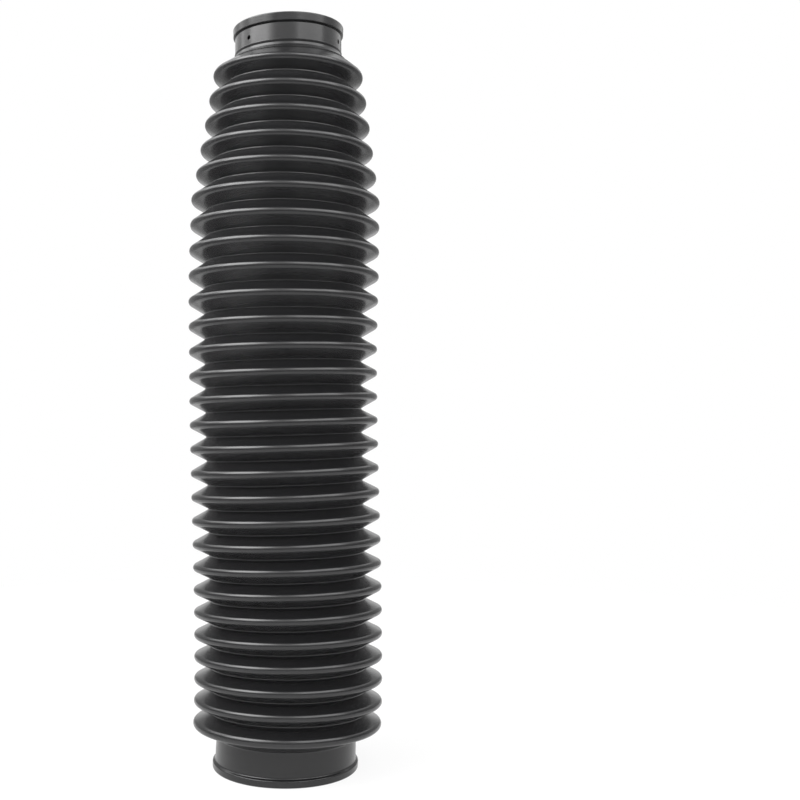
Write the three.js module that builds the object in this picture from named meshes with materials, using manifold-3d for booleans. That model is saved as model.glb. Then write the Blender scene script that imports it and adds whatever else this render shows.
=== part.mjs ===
// Fork gaiter for a motorcycle: one moulded rubber bellows that covers the sliding part of a fork leg.
// The small collar at the top grips the fork tube and the large collar at the bottom grips the slider.
// Millimetres, +Z up, standing on its bottom rim, with the fork leg's axis on Z and the front towards -Y.

import * as THREE from 'three';
import { mergeVertices } from 'three/addons/utils/BufferGeometryUtils.js';
import Module from 'manifold-3d';

// Whole moulding
const overallLength = 325;
const forkTubeDiameter = 41;
const sliderDiameter = 56;
const collarWall = 3.0;
const foldWall = 1.6;

// Bellows: the folds close up towards the bottom, as the soft wall settles under its own weight
const foldCount = 28;
const foldDepth = 7.5;
const crestRounding = 1.85;
const crestArc = Math.PI / 3;
const topPitchOverMean = 1.07;
const valleyThickening = 0.6;
const crestBeyondTopCollar = 9.05;
const crestBeyondBottomCollar = 10.5;
const taperedFolds = 4.5;
const topValleyRise = 1.3;
const raisedValleys = 9;

// Top collar, from its lip down to the shoulder that opens into the first fold
const topLipHeight = 3.7;
const topLipProjection = 0.9;
const topClampSeat = 8.2;
const neckFlare = 1.2;
const neckFlareDrop = 3.2;
const shoulderWidth = 3.9;
const shoulderDrop = 1.9;
const shoulderToFirstCrest = 6.3;

// Bottom collar, from the last fold down to the rim
const bottomLipHeight = 3.3;
const bottomLipProjection = 1.1;
const bottomClampSeat = 10.9;
const lastCrestAboveCollar = 5.5;
const collarDraft = 0.2;

// Edge breaks and the three breather holes in the top clamp seat
const lipEdge = 0.5;
const boreEdge = 0.6;
const ventDiameter = 2;
const ventCount = 3;
const firstVentAzimuth = THREE.MathUtils.degToRad(-46);

const roundSides = 28;
const ventSides = 10;

// Radii that follow from what each collar grips
const topBore = forkTubeDiameter / 2;
const bottomBore = sliderDiameter / 2;
const topCollar = topBore + collarWall;
const bottomCollar = bottomBore + collarWall;
const topLip = topCollar + topLipProjection;
const bottomLip = bottomCollar + bottomLipProjection;
const neckRoot = topCollar + neckFlare;
const shoulderEdge = neckRoot + shoulderWidth;
const firstCrest = topCollar + crestBeyondTopCollar;
const fullCrest = bottomCollar + crestBeyondBottomCollar;

// Heights, measured up from the bottom rim
const topSeatEnd = overallLength - topLipHeight;
const neckTop = topSeatEnd - topClampSeat;
const shoulderTop = neckTop - neckFlareDrop;
const shoulderEdgeHeight = shoulderTop - shoulderDrop;
const firstCrestHeight = shoulderTop - shoulderToFirstCrest;
const bottomCollarTop = bottomLipHeight + bottomClampSeat;
const lastCrestHeight = bottomCollarTop + lastCrestAboveCollar;
const ventHeight = topSeatEnd - topClampSeat / 2;

// A crest's height: the pitch falls evenly from the first fold to the last
function crestHeight(fold) {
  const share = fold / (foldCount - 1);
  const fallen = share * (topPitchOverMean - (topPitchOverMean - 1) * share);
  return THREE.MathUtils.lerp(firstCrestHeight, lastCrestHeight, fallen);
}

// A crest's radius: the first folds widen in equal steps to the full diameter
function crestRadius(fold) {
  return THREE.MathUtils.lerp(firstCrest, fullCrest, Math.min(fold / taperedFolds, 1));
}

// A valley's height: midway between its crests, and a little higher on the upper folds, which hang stretched
function valleyHeight(fold) {
  const stretch = Math.max(1 - (fold + 0.5) / raisedValleys, 0);
  return (crestHeight(fold) + crestHeight(fold + 1)) / 2 + topValleyRise * stretch;
}

function valleyRadius(fold) {
  return (crestRadius(fold) + crestRadius(fold + 1)) / 2 - foldDepth;
}

// Outside of one crest: an arc from its upper wall round to its lower wall
function crestOutside(fold) {
  const centre = crestRadius(fold) - crestRounding;
  return [crestArc, 0, -crestArc].map((angle) => [
    centre + crestRounding * Math.cos(angle),
    crestHeight(fold) + crestRounding * Math.sin(angle),
  ]);
}

// Outside of the moulding from the top lip's edge down to the bottom rim
function outsideProfile() {
  const points = [
    [topLip - lipEdge, overallLength],
    [topLip, overallLength - lipEdge],
    [topLip, topSeatEnd],
    [topCollar, topSeatEnd],
    [topCollar, neckTop],
    [neckRoot, neckTop - neckFlare],
    [neckRoot, shoulderTop],
    [shoulderEdge, shoulderEdgeHeight],
  ];
  for (let fold = 0; fold < foldCount; fold += 1) {
    points.push(...crestOutside(fold));
    if (fold < foldCount - 1) {
      points.push([valleyRadius(fold), valleyHeight(fold)]);
    }
  }
  points.push(
    [bottomCollar - collarDraft, bottomCollarTop],
    [bottomCollar, bottomLipHeight + lipEdge],
    [bottomLip, bottomLipHeight],
    [bottomLip, lipEdge],
    [bottomLip - lipEdge, 0],
  );
  return points;
}

// Inside of the moulding from the bottom bore back up to the top bore, a wall's thickness within
function insideProfile() {
  const points = [
    [bottomBore + boreEdge, 0],
    [bottomBore, boreEdge],
    [bottomBore, bottomCollarTop],
  ];
  for (let fold = foldCount - 1; fold >= 0; fold -= 1) {
    points.push([crestRadius(fold) - foldWall, crestHeight(fold)]);
    if (fold > 0) {
      points.push([valleyRadius(fold - 1) - foldWall - valleyThickening, valleyHeight(fold - 1)]);
    }
  }
  points.push(
    [shoulderEdge - foldWall, shoulderEdgeHeight - foldWall],
    [topBore, shoulderTop - foldWall],
    [topBore, overallLength - boreEdge],
    [topBore + boreEdge, overallLength],
  );
  return points;
}

// The wall's section turned once round the fork leg's axis
function mouldedWall() {
  const section = [...outsideProfile(), ...insideProfile()].reverse();
  section.push(section[0]);
  const outline = section.map(([radius, height]) => new THREE.Vector2(radius, height));
  return new THREE.LatheGeometry(outline, roundSides).rotateX(Math.PI / 2);
}

// A pin that reaches from inside the top bore out past the clamp seat, for boring one breather hole
function ventPin(index) {
  const azimuth = firstVentAzimuth + (index * 2 * Math.PI) / ventCount;
  const pin = new THREE.CylinderGeometry(ventDiameter / 2, ventDiameter / 2, collarWall * 3, ventSides);
  const middle = topBore + collarWall / 2;
  return pin.translate(0, -middle, 0).rotateZ(azimuth).translate(0, 0, ventHeight);
}

const wasm = await Module();
wasm.setup();

function toSolid(geometry) {
  const bare = geometry.clone();
  bare.deleteAttribute('normal');
  bare.deleteAttribute('uv');
  const welded = mergeVertices(bare);
  const vertProperties = new Float32Array(welded.attributes.position.array);
  const triVerts = new Uint32Array(welded.index.array);
  return new wasm.Manifold(new wasm.Mesh({ numProp: 3, vertProperties, triVerts }));
}

function toGeometry(solid) {
  const mesh = solid.getMesh();
  const geometry = new THREE.BufferGeometry();
  geometry.setAttribute('position', new THREE.BufferAttribute(mesh.vertProperties, 3));
  geometry.setIndex(new THREE.BufferAttribute(mesh.triVerts, 1));
  geometry.computeVertexNormals();
  return geometry;
}

function gaiterGeometry() {
  let wall = toSolid(mouldedWall());
  for (let index = 0; index < ventCount; index += 1) {
    wall = wall.subtract(toSolid(ventPin(index)));
  }
  return toGeometry(wall);
}

const blackRubber = new THREE.MeshStandardMaterial({ color: 0x1c1c1d, roughness: 0.5, metalness: 0 });

const gaiter = new THREE.Mesh(gaiterGeometry(), blackRubber);
gaiter.name = 'gaiter';

const part = new THREE.Group();
part.add(gaiter);

export default part;
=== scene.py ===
import math

import bpy
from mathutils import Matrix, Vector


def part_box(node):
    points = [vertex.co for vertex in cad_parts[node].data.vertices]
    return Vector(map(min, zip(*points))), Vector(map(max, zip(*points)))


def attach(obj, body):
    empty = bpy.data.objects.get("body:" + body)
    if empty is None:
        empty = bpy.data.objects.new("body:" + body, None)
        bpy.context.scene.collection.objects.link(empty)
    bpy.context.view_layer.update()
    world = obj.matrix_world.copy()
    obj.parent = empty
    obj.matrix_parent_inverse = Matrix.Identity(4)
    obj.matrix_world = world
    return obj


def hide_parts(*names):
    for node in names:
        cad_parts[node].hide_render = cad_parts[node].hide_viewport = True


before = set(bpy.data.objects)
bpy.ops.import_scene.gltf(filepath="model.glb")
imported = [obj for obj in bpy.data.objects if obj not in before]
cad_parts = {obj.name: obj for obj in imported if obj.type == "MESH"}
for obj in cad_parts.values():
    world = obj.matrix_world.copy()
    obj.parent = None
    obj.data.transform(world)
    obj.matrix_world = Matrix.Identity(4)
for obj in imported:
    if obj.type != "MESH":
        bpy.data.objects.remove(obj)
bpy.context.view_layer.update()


# Gaiter
# One compression-moulded rubber bellows round the sliding part of a motorcycle's fork leg. It has a small
# collar for the fork tube above and a large one for the slider below, and both clamp seats are bare. Its
# section is drawn once, from bore to bore, turned round the leg's axis and bored for the breather holes.
MM = 0.001
gaiter_low, gaiter_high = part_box("gaiter")
height = gaiter_high[2] - gaiter_low[2]
full_crest = (gaiter_high[0] - gaiter_low[0]) / 2

fold_count = 28
tapered_folds = 5
first_crest = 33.0 * MM
first_crest_height = height - 21.4 * MM
last_crest_height = 19.7 * MM
top_pitch_over_mean = 1.07
fold_depth = 7.35 * MM
top_fold_depth = 6.2 * MM
stretched_folds = 18
crest_rounding = 1.85 * MM
crest_arc = math.radians(60)
valley_rounding = 0.5 * MM
inner_valley_rounding = 1.0 * MM
top_valley_rise = 1.3 * MM
raised_valleys = 9
fold_wall = 1.6 * MM
valley_thickening = 0.6 * MM
round_sides = 96

top_bore, top_collar, top_lip = 20.5 * MM, 23.5 * MM, 24.4 * MM
bottom_bore, bottom_collar, bottom_lip = 28 * MM, 31.0 * MM, 32.1 * MM
neck_waist, shoulder_edge = 23.55 * MM, 26.0 * MM
lip_fillet, bore_fillet = 0.5 * MM, 0.6 * MM

# Depths below the top rim, and heights above the bottom rim
lip_depth, seat_depth, waist_depth, shoulder_depth = 3.7 * MM, 11.2 * MM, 12.4 * MM, 15.1 * MM
bottom_lip_height, bottom_seat_height = 2.9 * MM, 14.2 * MM


def rounded_outline(corners, arc_step=math.radians(15), hold=0.12 * MM):
    """An open outline with its (radius, height, fillet) corners rounded and a point held beside each arc."""
    points = []
    for index, (x, y, fillet) in enumerate(corners):
        if fillet == 0 or index in (0, len(corners) - 1):
            points.append((x, y))
            continue
        before, after = corners[index - 1], corners[index + 1]
        back = math.hypot(before[0] - x, before[1] - y)
        ahead = math.hypot(after[0] - x, after[1] - y)
        ux, uy = (before[0] - x) / back, (before[1] - y) / back
        vx, vy = (after[0] - x) / ahead, (after[1] - y) / ahead
        opening = math.acos(max(-1.0, min(1.0, ux * vx + uy * vy)))
        reach = fillet / math.tan(opening / 2)
        turn = math.pi - opening
        steps = max(2, round(turn / arc_step))
        if reach + hold < back / 2:
            points.append((x + ux * (reach + hold), y + uy * (reach + hold)))
        bisector = math.hypot(ux + vx, uy + vy)
        centre_reach = fillet / math.sin(opening / 2)
        cx = x + (ux + vx) / bisector * centre_reach
        cy = y + (uy + vy) / bisector * centre_reach
        start = math.atan2(y + uy * reach - cy, x + ux * reach - cx)
        end = math.atan2(y + vy * reach - cy, x + vx * reach - cx)
        sweep = (end - start + math.pi) % (2 * math.pi) - math.pi
        for step in range(steps + 1):
            angle = start + sweep * step / steps
            points.append((cx + fillet * math.cos(angle), cy + fillet * math.sin(angle)))
        if reach + hold < ahead / 2:
            points.append((x + vx * (reach + hold), y + vy * (reach + hold)))
    return points


def crest_end(radius, level, rounding, angle):
    """The point where a crest's arc passes into the straight wall above or below it."""
    return (radius - rounding + rounding * math.cos(angle), level + rounding * math.sin(angle), 0)


# The top collar: the shoulder's inside and the bore, the lip with a fine groove under it, the clamp seat with
# a small step at its foot, the neck, which flares out to the shoulder's edge, and the cone to the first crest
head_section = rounded_outline([
    (first_crest - fold_wall, first_crest_height, 0),
    (shoulder_edge + 1.0 * MM, height - shoulder_depth - 3.6 * MM, 1.2 * MM),
    (top_bore, height - shoulder_depth - fold_wall, 1.0 * MM),
    (top_bore, height, bore_fillet),
    (top_lip, height, lip_fillet),
    (top_lip - 0.15 * MM, height - lip_depth + 0.1 * MM, 0.25 * MM),
    (top_collar - 0.2 * MM, height - lip_depth, 0.15 * MM),
    (top_collar - 0.12 * MM, height - lip_depth - 0.3 * MM, 0.2 * MM),
    (top_collar, height - lip_depth - 0.6 * MM, 0.3 * MM),
    (top_collar, height - seat_depth, 0.08 * MM),
    (neck_waist + 0.15 * MM, height - seat_depth - 0.15 * MM, 0.08 * MM),
    (neck_waist, height - waist_depth, 0.2 * MM),
    (neck_waist + 0.15 * MM, height - waist_depth - 1.0 * MM, 0.3 * MM),
    (shoulder_edge - 1.5 * MM, height - shoulder_depth + 0.8 * MM, 0.6 * MM),
    (shoulder_edge, height - shoulder_depth, 0.12 * MM),
    (shoulder_edge - 0.3 * MM, height - shoulder_depth - 0.25 * MM, 0.1 * MM),
    (shoulder_edge + 2.6 * MM, height - shoulder_depth - 2.1 * MM, 2.5 * MM),
    crest_end(first_crest, first_crest_height, crest_rounding, crest_arc),
])

# The bottom collar: the clamp seat under the last crest, the lip, the bore and the last crest's inside
foot_section = rounded_outline([
    crest_end(full_crest, last_crest_height, crest_rounding, -crest_arc),
    (bottom_collar - 0.2 * MM, bottom_seat_height, 1.0 * MM),
    (bottom_collar, bottom_lip_height + 0.9 * MM, 0.8 * MM),
    (bottom_lip, bottom_lip_height, 0.5 * MM),
    (bottom_lip, 0, 0.7 * MM),
    (bottom_bore, 0, bore_fillet),
    (bottom_bore, bottom_seat_height, 1.0 * MM),
    (full_crest - fold_wall, last_crest_height, 0),
])


def add_node(tree, kind, links=None, **settings):
    """Adds a node; each link gives an input a value, a socket or the first output of another node."""
    node = tree.nodes.new(kind)
    for name, value in settings.items():
        setattr(node, name, value)
    for key, value in (links or {}).items():
        if isinstance(value, bpy.types.Node):
            value = next(socket for socket in value.outputs if socket.enabled)
        if isinstance(value, bpy.types.NodeSocket):
            tree.links.new(value, node.inputs[key])
        else:
            node.inputs[key].default_value = value
    return node


def new_tree(name, inputs, outputs):
    """A geometry node tree with named inputs, each with its default, and its Group Input node."""
    tree = bpy.data.node_groups.new(name, "GeometryNodeTree")
    for label, kind, default in inputs:
        socket = tree.interface.new_socket(label, in_out="INPUT", socket_type=kind)
        if default is not None:
            socket.default_value = default
    for label, kind in outputs:
        tree.interface.new_socket(label, in_out="OUTPUT", socket_type=kind)
    return tree, tree.nodes.new("NodeGroupInput")


# The rule that places a ring, crest or valley, by its number from the top: radius along X and height along Y
rule_inputs = [
    ("Fold Count", "NodeSocketInt", fold_count),
    ("Tapered Folds", "NodeSocketFloat", float(tapered_folds)),
    ("First Crest Radius", "NodeSocketFloat", first_crest),
    ("Full Crest Radius", "NodeSocketFloat", full_crest),
    ("First Crest Height", "NodeSocketFloat", first_crest_height),
    ("Last Crest Height", "NodeSocketFloat", last_crest_height),
    ("Top Pitch Over Mean", "NodeSocketFloat", top_pitch_over_mean),
]
ring_rule, ring = new_tree("ring_rule", [("Number", "NodeSocketFloat", 0.0)] + rule_inputs,
                           [("Place", "NodeSocketVector")])
last_number = add_node(ring_rule, "ShaderNodeMath", {0: ring.outputs["Fold Count"], 1: 1.0},
                       operation="SUBTRACT")
share = add_node(ring_rule, "ShaderNodeMath", {0: ring.outputs["Number"], 1: last_number}, operation="DIVIDE")
excess = add_node(ring_rule, "ShaderNodeMath", {0: 1.0, 1: ring.outputs["Top Pitch Over Mean"]},
                  operation="SUBTRACT")
slope = add_node(ring_rule, "ShaderNodeMath", {0: excess, 1: share, 2: ring.outputs["Top Pitch Over Mean"]},
                 operation="MULTIPLY_ADD")
fallen = add_node(ring_rule, "ShaderNodeMath", {0: share, 1: slope}, operation="MULTIPLY")
level = add_node(ring_rule, "ShaderNodeMapRange", {
    "Value": fallen, "To Min": ring.outputs["First Crest Height"],
    "To Max": ring.outputs["Last Crest Height"]}, clamp=False)
width = add_node(ring_rule, "ShaderNodeMapRange", {
    "Value": ring.outputs["Number"], "From Max": ring.outputs["Tapered Folds"],
    "To Min": ring.outputs["First Crest Radius"], "To Max": ring.outputs["Full Crest Radius"]})
place = add_node(ring_rule, "ShaderNodeCombineXYZ", {"X": width, "Y": level})
add_node(ring_rule, "NodeGroupOutput", {"Place": place})

# One side of the folded wall, as a line of points from the first crest's arc to the last crest's arc
wall_inputs = rule_inputs + [
    ("Crest Rounding", "NodeSocketFloat", crest_rounding),
    ("Crest Arc", "NodeSocketFloat", crest_arc),
    ("Fold Depth", "NodeSocketFloat", fold_depth),
    ("Top Fold Depth", "NodeSocketFloat", top_fold_depth),
    ("Stretched Folds", "NodeSocketFloat", float(stretched_folds)),
    ("Valley Rounding", "NodeSocketFloat", valley_rounding),
    ("Top Valley Rise", "NodeSocketFloat", top_valley_rise),
    ("Raised Valleys", "NodeSocketFloat", float(raised_valleys)),
]
fold_line, line = new_tree("fold_line", wall_inputs + [
    ("Points Per Fold", "NodeSocketInt", 24),
    ("Points On Half Crest", "NodeSocketInt", 5),
    # The share of painted fill light in the colour under a crest
    ("Painted Fill Under Crest", "NodeSocketFloat", 0.35),
], [("Mesh", "NodeSocketGeometry")])
per_fold, half_crest = line.outputs["Points Per Fold"], line.outputs["Points On Half Crest"]
rule_links = {label: line.outputs[label] for label, kind, default in rule_inputs}
gaps = add_node(fold_line, "ShaderNodeMath", {0: line.outputs["Fold Count"], 1: 1.0}, operation="SUBTRACT")
ends = add_node(fold_line, "ShaderNodeMath", {0: half_crest, 1: 2.0, 2: 1.0}, operation="MULTIPLY_ADD")
count = add_node(fold_line, "ShaderNodeMath", {0: gaps, 1: per_fold, 2: ends}, operation="MULTIPLY_ADD")
points = add_node(fold_line, "GeometryNodeMeshLine", {"Count": count})
index = add_node(fold_line, "GeometryNodeInputIndex")
past_arc = add_node(fold_line, "ShaderNodeMath", {0: index, 1: half_crest}, operation="SUBTRACT")
number = add_node(fold_line, "ShaderNodeMath", {0: past_arc, 1: per_fold}, operation="DIVIDE")
crest_number = add_node(fold_line, "ShaderNodeMath", {0: number}, operation="ROUND")
gap_number = add_node(fold_line, "ShaderNodeMath", {0: number}, operation="FLOOR")
valley_number = add_node(fold_line, "ShaderNodeMath", {0: gap_number, 1: 0.5}, operation="ADD")
crest_place = add_node(fold_line, "GeometryNodeGroup", node_tree=ring_rule)
valley_place = add_node(fold_line, "GeometryNodeGroup", node_tree=ring_rule)
for group, ring_number in ((crest_place, crest_number), (valley_place, valley_number)):
    fold_line.links.new(ring_number.outputs[0], group.inputs["Number"])
    for name, socket in rule_links.items():
        fold_line.links.new(socket, group.inputs[name])
away = add_node(fold_line, "ShaderNodeMath", {0: number, 1: crest_number}, operation="SUBTRACT")
arc_share = add_node(fold_line, "ShaderNodeMath", {0: half_crest, 1: per_fold}, operation="DIVIDE")
arc_share_up = add_node(fold_line, "ShaderNodeMath", {0: arc_share, 1: -1.0}, operation="MULTIPLY")
arc_down = add_node(fold_line, "ShaderNodeMath", {0: line.outputs["Crest Arc"], 1: -1.0},
                    operation="MULTIPLY")
angle = add_node(fold_line, "ShaderNodeMapRange", {
    "Value": away, "From Min": arc_share_up, "From Max": arc_share,
    "To Min": line.outputs["Crest Arc"], "To Max": arc_down})
cosine = add_node(fold_line, "ShaderNodeMath", {0: angle}, operation="COSINE")
sine = add_node(fold_line, "ShaderNodeMath", {0: angle}, operation="SINE")
inward = add_node(fold_line, "ShaderNodeMath", {0: cosine, 1: 1.0}, operation="SUBTRACT")
arc_offset = add_node(fold_line, "ShaderNodeCombineXYZ", {"X": inward, "Y": sine})
arc_place = add_node(fold_line, "ShaderNodeVectorMath", {
    0: arc_offset, 1: line.outputs["Crest Rounding"], 2: crest_place}, operation="MULTIPLY_ADD")
depth = add_node(fold_line, "ShaderNodeMapRange", {
    "Value": valley_number, "From Max": line.outputs["Stretched Folds"],
    "To Min": line.outputs["Top Fold Depth"], "To Max": line.outputs["Fold Depth"]})
sharp_depth = add_node(fold_line, "ShaderNodeMath", {0: depth, 1: line.outputs["Valley Rounding"]},
                       operation="ADD")
valley_rise = add_node(fold_line, "ShaderNodeMapRange", {
    "Value": valley_number, "From Max": line.outputs["Raised Valleys"],
    "To Min": line.outputs["Top Valley Rise"], "To Max": 0.0})
inset = add_node(fold_line, "ShaderNodeMath", {0: sharp_depth, 1: -1.0}, operation="MULTIPLY")
valley_shift = add_node(fold_line, "ShaderNodeCombineXYZ", {"X": inset, "Y": valley_rise})
sharp_valley = add_node(fold_line, "ShaderNodeVectorMath", {0: valley_place, 1: valley_shift},
                        operation="ADD")
away_size = add_node(fold_line, "ShaderNodeMath", {0: away}, operation="ABSOLUTE")
wall_share = add_node(fold_line, "ShaderNodeMapRange", {
    "Value": away_size, "From Min": arc_share, "From Max": 0.5}, interpolation_type="SMOOTHSTEP")
wall_place = add_node(fold_line, "ShaderNodeMix", {"Factor": wall_share, 4: arc_place, 5: sharp_valley},
                      data_type="VECTOR")
wall_parts = add_node(fold_line, "ShaderNodeSeparateXYZ", {0: wall_place.outputs[1]})
valley_parts = add_node(fold_line, "ShaderNodeSeparateXYZ", {0: valley_place})
valley_floor = add_node(fold_line, "ShaderNodeMath", {0: valley_parts.outputs["X"], 1: depth},
                        operation="SUBTRACT")
rounded = add_node(fold_line, "ShaderNodeMath", {
    0: wall_parts.outputs["X"], 1: valley_floor, 2: line.outputs["Valley Rounding"]}, operation="SMOOTH_MAX")
section_point = add_node(fold_line, "ShaderNodeCombineXYZ", {"X": rounded, "Y": wall_parts.outputs["Y"]})
folded = add_node(fold_line, "GeometryNodeSetPosition", {"Geometry": points, "Position": section_point})

# How much painted fill light each ring gets in its colour: none on a crest's upper side, which keeps painted
# shade, a little under the crest and all in the valley
under_share = add_node(fold_line, "ShaderNodeMapRange", {
    "Value": away, "From Min": arc_share_up, "From Max": arc_share,
    "To Max": line.outputs["Painted Fill Under Crest"]})
valley_share = add_node(fold_line, "ShaderNodeMath", {0: wall_share, 1: 2.0}, operation="POWER")
painted_fill_share = add_node(fold_line, "ShaderNodeMix", {"Factor": valley_share, 2: under_share, 3: 1.0},
                       data_type="FLOAT")
marked = add_node(fold_line, "GeometryNodeStoreNamedAttribute", {
    "Geometry": folded, "Name": "painted_fill_light", "Value": painted_fill_share}, data_type="FLOAT", domain="POINT")
add_node(fold_line, "NodeGroupOutput", {"Mesh": marked})

# The whole moulding: the closed section turned round the axis, bored, and leaning as soft rubber does
bellows, whole = new_tree("moulded_bellows", [
    ("Collar Sections", "NodeSocketGeometry", None),
    *wall_inputs,
    ("Fold Wall", "NodeSocketFloat", fold_wall),
    ("Valley Thickening", "NodeSocketFloat", valley_thickening),
    ("Inner Valley Rounding", "NodeSocketFloat", inner_valley_rounding),
    ("Inner Points Per Fold", "NodeSocketInt", 8),
    ("Round Sides", "NodeSocketInt", round_sides),
    ("Turning Radius", "NodeSocketFloat", top_bore),
    ("Vent Count", "NodeSocketInt", 3),
    ("Vent Radius", "NodeSocketFloat", 1.0 * MM),
    ("Vent Length", "NodeSocketFloat", 7.8 * MM),
    ("Vent Height", "NodeSocketFloat", height - 8.2 * MM),
    ("Vent Ring Radius", "NodeSocketFloat", (top_bore + top_collar) / 2),
    ("First Vent Azimuth", "NodeSocketFloat", math.radians(-136)),
    ("Vent Spacing", "NodeSocketFloat", math.radians(114)),
    ("Lean", "NodeSocketFloat", 1.15 * MM),
    ("Lean Length", "NodeSocketFloat", 270 * MM),
    ("Lean Peak", "NodeSocketFloat", 48 * MM),
    ("Foot Set Left", "NodeSocketFloat", 0.65 * MM),
    ("Side Tilt", "NodeSocketFloat", 0.027),
    ("Mean Side Tilt", "NodeSocketFloat", -0.006),
    ("Head Side Tilt", "NodeSocketFloat", -0.018),
    ("Side Tilt Length", "NodeSocketFloat", 295 * MM),
    ("Side Tilt Peak", "NodeSocketFloat", 273 * MM),
    ("Front Tilt", "NodeSocketFloat", 0.014),
    ("Lower Front Tilt", "NodeSocketFloat", 0.055),
    ("Tipped From", "NodeSocketFloat", 150 * MM),
    ("Tipped Most", "NodeSocketFloat", 62 * MM),
    ("Settling", "NodeSocketFloat", 0.75 * MM),
    ("Settling Length", "NodeSocketFloat", 350 * MM),
    ("Settling Peak", "NodeSocketFloat", 74 * MM),
    ("Upper Drop", "NodeSocketFloat", 0.35 * MM),
    ("Upper Drop From", "NodeSocketFloat", 140 * MM),
    ("Upper Drop To", "NodeSocketFloat", 180 * MM),
    ("Unevenness", "NodeSocketFloat", 0.12 * MM),
    ("Unevenness Length", "NodeSocketFloat", 105 * MM),
    ("Unevenness Peak", "NodeSocketFloat", 195 * MM),
    ("Swelling", "NodeSocketFloat", 0.012),
    ("Swelling Middle", "NodeSocketFloat", 217 * MM),
    ("Swelling Reach", "NodeSocketFloat", 40 * MM),
    ("Level Foot Height", "NodeSocketFloat", 7 * MM),
    ("Tipped Foot Height", "NodeSocketFloat", 27 * MM),
    ("Head Height", "NodeSocketFloat", height - 12 * MM),
    ("Rubber", "NodeSocketMaterial", None),
], [("Geometry", "NodeSocketGeometry")])
wall_links = {label: whole.outputs[label] for label, kind, default in wall_inputs}
outer_line = add_node(bellows, "GeometryNodeGroup", wall_links, node_tree=fold_line)
inner_first = add_node(bellows, "ShaderNodeMath", {
    0: whole.outputs["First Crest Radius"], 1: whole.outputs["Fold Wall"]}, operation="SUBTRACT")
inner_full = add_node(bellows, "ShaderNodeMath", {
    0: whole.outputs["Full Crest Radius"], 1: whole.outputs["Fold Wall"]}, operation="SUBTRACT")
inner_depth = add_node(bellows, "ShaderNodeMath", {
    0: whole.outputs["Fold Depth"], 1: whole.outputs["Valley Thickening"]}, operation="ADD")
inner_top_depth = add_node(bellows, "ShaderNodeMath", {
    0: whole.outputs["Top Fold Depth"], 1: whole.outputs["Valley Thickening"]}, operation="ADD")
inner_line = add_node(bellows, "GeometryNodeGroup", {
    **wall_links, "First Crest Radius": inner_first, "Full Crest Radius": inner_full,
    "Fold Depth": inner_depth, "Top Fold Depth": inner_top_depth, "Crest Rounding": 0.0,
    "Valley Rounding": whole.outputs["Inner Valley Rounding"],
    "Points Per Fold": whole.outputs["Inner Points Per Fold"],
    "Points On Half Crest": 0}, node_tree=fold_line)
section = add_node(bellows, "GeometryNodeJoinGeometry")
for part in (whole.outputs["Collar Sections"], outer_line.outputs[0], inner_line.outputs[0]):
    bellows.links.new(part, section.inputs[0])
closed = add_node(bellows, "GeometryNodeMergeByDistance", {"Geometry": section, "Distance": 0.01 * MM})
section_curve = add_node(bellows, "GeometryNodeMeshToCurve", {"Mesh": closed})
set_back = add_node(bellows, "ShaderNodeMath", {0: whole.outputs["Turning Radius"], 1: -1.0},
                    operation="MULTIPLY")
set_back_vector = add_node(bellows, "ShaderNodeCombineXYZ", {"X": set_back})
set_section = add_node(bellows, "GeometryNodeTransform", {
    "Geometry": section_curve, "Translation": set_back_vector})
turning_path = add_node(bellows, "GeometryNodeCurvePrimitiveCircle", {
    "Resolution": whole.outputs["Round Sides"], "Radius": whole.outputs["Turning Radius"]}, mode="RADIUS")
turned = add_node(bellows, "GeometryNodeCurveToMesh", {"Curve": turning_path, "Profile Curve": set_section})
upright = add_node(bellows, "GeometryNodeTransform", {"Geometry": turned, "Rotation": (math.pi, 0, 0)})

vent_number = add_node(bellows, "GeometryNodeInputIndex")
vent_azimuth = add_node(bellows, "ShaderNodeMath", {
    0: vent_number, 1: whole.outputs["Vent Spacing"], 2: whole.outputs["First Vent Azimuth"]},
    operation="MULTIPLY_ADD")
vent_cosine = add_node(bellows, "ShaderNodeMath", {0: vent_azimuth}, operation="COSINE")
vent_sine = add_node(bellows, "ShaderNodeMath", {0: vent_azimuth}, operation="SINE")
vent_x = add_node(bellows, "ShaderNodeMath", {0: vent_cosine, 1: whole.outputs["Vent Ring Radius"]},
                  operation="MULTIPLY")
vent_y = add_node(bellows, "ShaderNodeMath", {0: vent_sine, 1: whole.outputs["Vent Ring Radius"]},
                  operation="MULTIPLY")
vent_place = add_node(bellows, "ShaderNodeCombineXYZ", {
    "X": vent_x, "Y": vent_y, "Z": whole.outputs["Vent Height"]})
vent_points = add_node(bellows, "GeometryNodePoints", {
    "Count": whole.outputs["Vent Count"], "Position": vent_place})
vent_turn = add_node(bellows, "ShaderNodeCombineXYZ", {"Y": math.pi / 2, "Z": vent_azimuth})
vent_pin = add_node(bellows, "GeometryNodeMeshCylinder", {
    "Vertices": 24, "Radius": whole.outputs["Vent Radius"], "Depth": whole.outputs["Vent Length"]})
vent_pins = add_node(bellows, "GeometryNodeInstanceOnPoints", {
    "Points": vent_points, "Instance": vent_pin, "Rotation": vent_turn})
vent_tools = add_node(bellows, "GeometryNodeRealizeInstances", {"Geometry": vent_pins})
bored = add_node(bellows, "GeometryNodeMeshBoolean", {"Mesh 1": upright, "Mesh 2": vent_tools},
                 operation="DIFFERENCE", solver="MANIFOLD")

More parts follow.
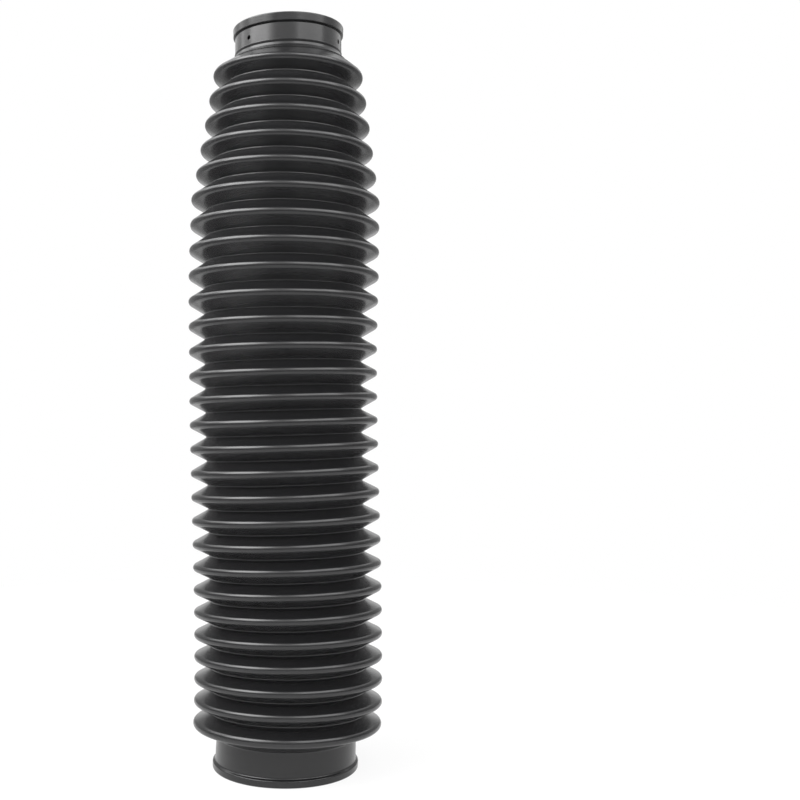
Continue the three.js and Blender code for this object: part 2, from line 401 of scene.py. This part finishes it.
# The soft wall leans from side to side and swells, its folds tip and settle, and the foot stays on the floor
place_now = add_node(bellows, "GeometryNodeInputPosition")
now = add_node(bellows, "ShaderNodeSeparateXYZ", {0: place_now})
foot_fade = add_node(bellows, "ShaderNodeMapRange", {
    "Value": now.outputs["Z"], "From Min": whole.outputs["Level Foot Height"],
    "From Max": whole.outputs["Tipped Foot Height"]}, interpolation_type="SMOOTHSTEP")
head_fade = add_node(bellows, "ShaderNodeMapRange", {
    "Value": now.outputs["Z"], "From Min": whole.outputs["Head Height"],
    "From Max": whole.outputs["First Crest Height"]}, interpolation_type="SMOOTHSTEP")


def wave(length, peak_height):
    """A cosine wave up the gaiter's height, from named inputs for its length and for the height of a peak."""
    per_length = add_node(bellows, "ShaderNodeMath", {0: 2 * math.pi, 1: whole.outputs[length]},
                          operation="DIVIDE")
    past_peak = add_node(bellows, "ShaderNodeMath", {0: now.outputs["Z"], 1: whole.outputs[peak_height]},
                         operation="SUBTRACT")
    phase = add_node(bellows, "ShaderNodeMath", {0: past_peak, 1: per_length}, operation="MULTIPLY")
    return add_node(bellows, "ShaderNodeMath", {0: phase}, operation="COSINE")


foot_left = add_node(bellows, "ShaderNodeMapRange", {
    "Value": foot_fade, "To Min": whole.outputs["Foot Set Left"], "To Max": 0.0})
leaning = add_node(bellows, "ShaderNodeMath", {
    0: wave("Lean Length", "Lean Peak"), 1: whole.outputs["Lean"]}, operation="MULTIPLY")
lean = add_node(bellows, "ShaderNodeMath", {0: leaning, 1: foot_left}, operation="SUBTRACT")
side_wave = add_node(bellows, "ShaderNodeMath", {
    0: wave("Side Tilt Length", "Side Tilt Peak"), 1: whole.outputs["Side Tilt"],
    2: whole.outputs["Mean Side Tilt"]}, operation="MULTIPLY_ADD")
side_tilt = add_node(bellows, "ShaderNodeMix", {
    "Factor": head_fade, 2: whole.outputs["Head Side Tilt"], 3: side_wave}, data_type="FLOAT")
side_slope = add_node(bellows, "ShaderNodeMath", {0: side_tilt, 1: foot_fade}, operation="MULTIPLY")
side_rise = add_node(bellows, "ShaderNodeMath", {0: side_slope, 1: now.outputs["X"]}, operation="MULTIPLY")
tip_above = add_node(bellows, "ShaderNodeMapRange", {
    "Value": now.outputs["Z"], "From Min": whole.outputs["Tipped From"],
    "From Max": whole.outputs["Tipped Most"], "To Min": whole.outputs["Front Tilt"],
    "To Max": whole.outputs["Lower Front Tilt"]}, interpolation_type="SMOOTHSTEP")
front_tilt = add_node(bellows, "ShaderNodeMath", {0: tip_above, 1: head_fade}, operation="MULTIPLY")
front_slope = add_node(bellows, "ShaderNodeMath", {0: front_tilt, 1: foot_fade}, operation="MULTIPLY")
front_rise = add_node(bellows, "ShaderNodeMath", {0: front_slope, 1: now.outputs["Y"]}, operation="MULTIPLY")
upper_drop = add_node(bellows, "ShaderNodeMapRange", {
    "Value": now.outputs["Z"], "From Min": whole.outputs["Upper Drop From"],
    "From Max": whole.outputs["Upper Drop To"], "To Max": whole.outputs["Upper Drop"]},
    interpolation_type="SMOOTHSTEP")
uneven = add_node(bellows, "ShaderNodeMath", {
    0: wave("Unevenness Length", "Unevenness Peak"), 1: whole.outputs["Unevenness"], 2: upper_drop},
    operation="MULTIPLY_ADD")
settle = add_node(bellows, "ShaderNodeMath", {
    0: wave("Settling Length", "Settling Peak"), 1: whole.outputs["Settling"], 2: uneven},
    operation="MULTIPLY_ADD")
settle_head = add_node(bellows, "ShaderNodeMath", {0: settle, 1: head_fade}, operation="MULTIPLY")
settled = add_node(bellows, "ShaderNodeMath", {0: settle_head, 1: foot_fade}, operation="MULTIPLY")
both_rise = add_node(bellows, "ShaderNodeMath", {0: side_rise, 1: front_rise}, operation="ADD")
drop = add_node(bellows, "ShaderNodeMath", {0: both_rise, 1: settled}, operation="ADD")
rise = add_node(bellows, "ShaderNodeMath", {0: drop, 1: -1.0}, operation="MULTIPLY")
off_middle = add_node(bellows, "ShaderNodeMath", {0: now.outputs["Z"], 1: whole.outputs["Swelling Middle"]},
                      operation="SUBTRACT")
off_size = add_node(bellows, "ShaderNodeMath", {0: off_middle}, operation="ABSOLUTE")
swell = add_node(bellows, "ShaderNodeMapRange", {
    "Value": off_size, "From Max": whole.outputs["Swelling Reach"],
    "To Min": whole.outputs["Swelling"], "To Max": 0.0}, interpolation_type="SMOOTHSTEP")
swell_x = add_node(bellows, "ShaderNodeMath", {0: now.outputs["X"], 1: swell, 2: lean},
                   operation="MULTIPLY_ADD")
swell_y = add_node(bellows, "ShaderNodeMath", {0: now.outputs["Y"], 1: swell}, operation="MULTIPLY")
swayed_offset = add_node(bellows, "ShaderNodeCombineXYZ", {"X": swell_x, "Y": swell_y, "Z": rise})
swayed = add_node(bellows, "GeometryNodeSetPosition", {"Geometry": bored, "Offset": swayed_offset})

# Only the vents' rims are sharp
edge_turn = add_node(bellows, "GeometryNodeInputMeshEdgeAngle")
gentle = add_node(bellows, "FunctionNodeCompare", {0: edge_turn, 1: math.radians(40)}, operation="LESS_THAN")
smooth_faces = add_node(bellows, "GeometryNodeSetShadeSmooth", {"Geometry": swayed}, domain="FACE")
smooth_edges = add_node(bellows, "GeometryNodeSetShadeSmooth", {
    "Geometry": smooth_faces, "Shade Smooth": gentle}, domain="EDGE")
plain = add_node(bellows, "GeometryNodeRealizeInstances", {"Geometry": smooth_edges})
finished = add_node(bellows, "GeometryNodeSetMaterial", {
    "Geometry": plain, "Material": whole.outputs["Rubber"]})
add_node(bellows, "NodeGroupOutput", {"Geometry": finished})


def linear(hex_colour):
    """An sRGB hex colour as linear RGBA."""
    channels = [int(hex_colour[i:i + 2], 16) / 255 for i in (1, 3, 5)]
    return [c / 12.92 if c <= 0.04045 else ((c + 0.055) / 1.055) ** 2.4 for c in channels] + [1.0]


# Moulded black rubber: carbon black and a satin mould finish, which give a soft grey sheen on the crests,
# with a fine grain from the tool, drawn coarser than the real one, and faint clouds of gloss where the
# release agent dried. Its colour is painted paler down in the folds and a little under each crest, as painted
# fill light where the folds shade themselves, and darkest on the crests' upper sides as painted shade
rubber = bpy.data.materials.new("compression_moulded_rubber")
rubber.use_nodes = True
rubber.node_tree.nodes.clear()
where = add_node(rubber.node_tree, "ShaderNodeTexCoord").outputs["Object"]
clouds = add_node(rubber.node_tree, "ShaderNodeTexNoise", {
    "Vector": where, "Scale": 1 / (14 * MM), "Detail": 3.0, "Roughness": 0.5})
gloss = add_node(rubber.node_tree, "ShaderNodeMapRange", {
    "Value": clouds.outputs[0], "From Min": 0.3, "From Max": 0.7, "To Min": 0.22, "To Max": 0.27})
grain = add_node(rubber.node_tree, "ShaderNodeTexNoise", {
    "Vector": where, "Scale": 1 / (0.35 * MM), "Detail": 2.0, "Roughness": 0.5})
grain_bump = add_node(rubber.node_tree, "ShaderNodeBump", {
    "Height": grain.outputs[0], "Strength": 0.12, "Distance": 0.03 * MM})
# Painted fill light: the colour is paler in the folds and under the crests, and darkest on the crests' upper
# sides as painted shade
painted_fill_light = add_node(rubber.node_tree, "ShaderNodeAttribute", attribute_name="painted_fill_light")
painted_fill_colour = add_node(rubber.node_tree, "ShaderNodeMix", {
    "Factor": painted_fill_light.outputs["Fac"], 6: linear("#161617"), 7: linear("#383839")}, data_type="RGBA")
skin = add_node(rubber.node_tree, "ShaderNodeBsdfPrincipled", {
    "Base Color": painted_fill_colour, "Roughness": gloss, "IOR": 1.52, "Normal": grain_bump})
add_node(rubber.node_tree, "ShaderNodeOutputMaterial", {"Surface": skin})


def section_mesh(name, *outlines):
    """A mesh of open lines, one for each outline of (radius, height) points."""
    verts, edges = [], []
    for outline in outlines:
        start = len(verts)
        verts += [(radius, level, 0) for radius, level in outline]
        edges += [(i, i + 1) for i in range(start, len(verts) - 1)]
    mesh = bpy.data.meshes.new(name)
    mesh.from_pydata(verts, edges, [])
    return mesh


collar_mesh = section_mesh("collar_sections", head_section, foot_section)
sections = bpy.data.objects.new("collar_sections", collar_mesh)
bpy.context.scene.collection.objects.link(sections)
making = sections.modifiers.new("moulded_bellows", "NODES")
making.node_group = bellows
making[next(item.identifier for item in bellows.interface.items_tree if item.name == "Rubber")] = rubber
made = sections.evaluated_get(bpy.context.evaluated_depsgraph_get())
gaiter = bpy.data.objects.new("gaiter_rubber", bpy.data.meshes.new_from_object(made))
gaiter.data.name = "gaiter_rubber"
bpy.data.objects.remove(sections)
bpy.context.scene.collection.objects.link(gaiter)
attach(gaiter, "root")
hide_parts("gaiter")


# Floor
# The round white table that the gaiter stands on. It looks white to the camera and in the rubber's gloss, and
# it keeps a faint share of the gaiter's shadow.
floor_radius = 550 * MM
floor_sides = 64
floor_mesh = bpy.data.meshes.new("floor")
ring_angles = [2 * math.pi * side / floor_sides for side in range(floor_sides)]
floor_mesh.from_pydata([(floor_radius * math.cos(a), floor_radius * math.sin(a), 0) for a in ring_angles],
                       [], [tuple(range(floor_sides))])
floor = bpy.data.objects.new("floor", floor_mesh)
bpy.context.scene.collection.objects.link(floor)
white = bpy.data.materials.new("white_lacquered_table")
white.use_nodes = True
white.node_tree.nodes.clear()
lit = add_node(white.node_tree, "ShaderNodeBsdfDiffuse", {"Color": linear("#f0f0f0")})
bright = add_node(white.node_tree, "ShaderNodeEmission", {"Color": linear("#ffffff"), "Strength": 1.0})
ray = add_node(white.node_tree, "ShaderNodeLightPath")
mirrored = add_node(white.node_tree, "ShaderNodeMath", {
    0: ray.outputs["Is Glossy Ray"], 1: ray.outputs["Is Transmission Ray"]}, operation="ADD")
seen = add_node(white.node_tree, "ShaderNodeMath", {0: ray.outputs["Is Camera Ray"], 1: mirrored},
                operation="MAXIMUM")
plain_share = 0.88
seen_share = add_node(white.node_tree, "ShaderNodeMath", {0: seen, 1: plain_share}, operation="MULTIPLY")
table = add_node(white.node_tree, "ShaderNodeMixShader", {0: seen_share, 1: lit, 2: bright})
add_node(white.node_tree, "ShaderNodeOutputMaterial", {"Surface": table})
floor_mesh.materials.append(white)


# Light
# A strong soft lamp with a wide sheet beside it at the left, a weaker lamp at the right and faint panels in
# front and behind, all hung high in a dim room that grows paler towards its white backdrop.
lamp_distance = 1.1


def soft_lamp(name, azimuth, elevation, width, tall, radiance):
    """An area lamp that faces the gaiter's middle; azimuth counts degrees from the front to the right."""
    lamp = bpy.data.lights.new(name, "AREA")
    lamp.shape = "RECTANGLE"
    lamp.size, lamp.size_y = width, tall
    lamp.energy = radiance * math.pi * width * tall
    stand = bpy.data.objects.new(name, lamp)
    turn, rise = math.radians(azimuth), math.radians(elevation)
    across = lamp_distance * math.cos(rise)
    stand.location = (across * math.sin(turn), -across * math.cos(turn),
                      height / 2 + lamp_distance * math.sin(rise))
    stand.rotation_euler = (math.pi / 2 - rise, 0, turn)
    bpy.context.scene.collection.objects.link(stand)


soft_lamp("left_softbox", azimuth=-64, elevation=44, width=0.86, tall=0.8, radiance=5.9)
soft_lamp("left_sheet", azimuth=-74, elevation=44, width=1.9, tall=0.8, radiance=2.4)
soft_lamp("front_panel", azimuth=0, elevation=42, width=0.9, tall=1.0, radiance=1.2)
soft_lamp("right_softbox", azimuth=49, elevation=43.5, width=1.1, tall=0.84, radiance=3.4)
soft_lamp("back_left_panel", azimuth=-144, elevation=44, width=1.2, tall=0.8, radiance=0.8)
soft_lamp("back_right_panel", azimuth=115, elevation=44, width=1.5, tall=0.8, radiance=0.9)

world = bpy.data.worlds.new("dim_room")
bpy.context.scene.world = world
world.use_nodes = True
world.node_tree.nodes.clear()
facing = add_node(world.node_tree, "ShaderNodeTexCoord").outputs["Generated"]
facing_parts = add_node(world.node_tree, "ShaderNodeSeparateXYZ", {0: facing})
behind = add_node(world.node_tree, "ShaderNodeMapRange", {
    "Value": facing_parts.outputs["Y"], "From Min": 0.93, "From Max": 0.96}, interpolation_type="SMOOTHSTEP")
room_ray = add_node(world.node_tree, "ShaderNodeLightPath")
room_mirrored = add_node(world.node_tree, "ShaderNodeMath", {
    0: room_ray.outputs["Is Glossy Ray"], 1: room_ray.outputs["Is Transmission Ray"]}, operation="ADD")
beside = add_node(world.node_tree, "ShaderNodeMapRange", {
    "Value": facing_parts.outputs["Y"], "From Min": 0.25, "From Max": 0.5, "To Max": 0.25},
    interpolation_type="SMOOTHSTEP")
backdrop = add_node(world.node_tree, "ShaderNodeMath", {0: behind, 1: beside}, operation="MAXIMUM")
mirrored_backdrop = add_node(world.node_tree, "ShaderNodeMath", {0: room_mirrored, 1: backdrop},
                             operation="MULTIPLY")
white_share = add_node(world.node_tree, "ShaderNodeMath", {
    0: room_ray.outputs["Is Camera Ray"], 1: mirrored_backdrop}, operation="MAXIMUM")
dimness = 0.28
strength = add_node(world.node_tree, "ShaderNodeMapRange", {
    "Value": white_share, "To Min": dimness, "To Max": 1.0})
room = add_node(world.node_tree, "ShaderNodeBackground", {"Color": linear("#ffffff"), "Strength": strength})
add_node(world.node_tree, "ShaderNodeOutputWorld", {"Surface": room})


# Camera
# Level with the gaiter's middle and straight in front of it, with the frame shifted to put the gaiter where
# the photograph has it.
lens = bpy.data.cameras.new("camera")
lens.lens, lens.sensor_width = 50, 36
lens.shift_x, lens.shift_y = 0.143, 0.0125
camera = bpy.data.objects.new("camera", lens)
camera.location = (0, -492 * MM, 157 * MM)
camera.rotation_euler = (math.pi / 2, 0, 0)
bpy.context.scene.collection.objects.link(camera)
bpy.context.scene.camera = camera
bpy.context.scene.view_settings.view_transform = "Standard"
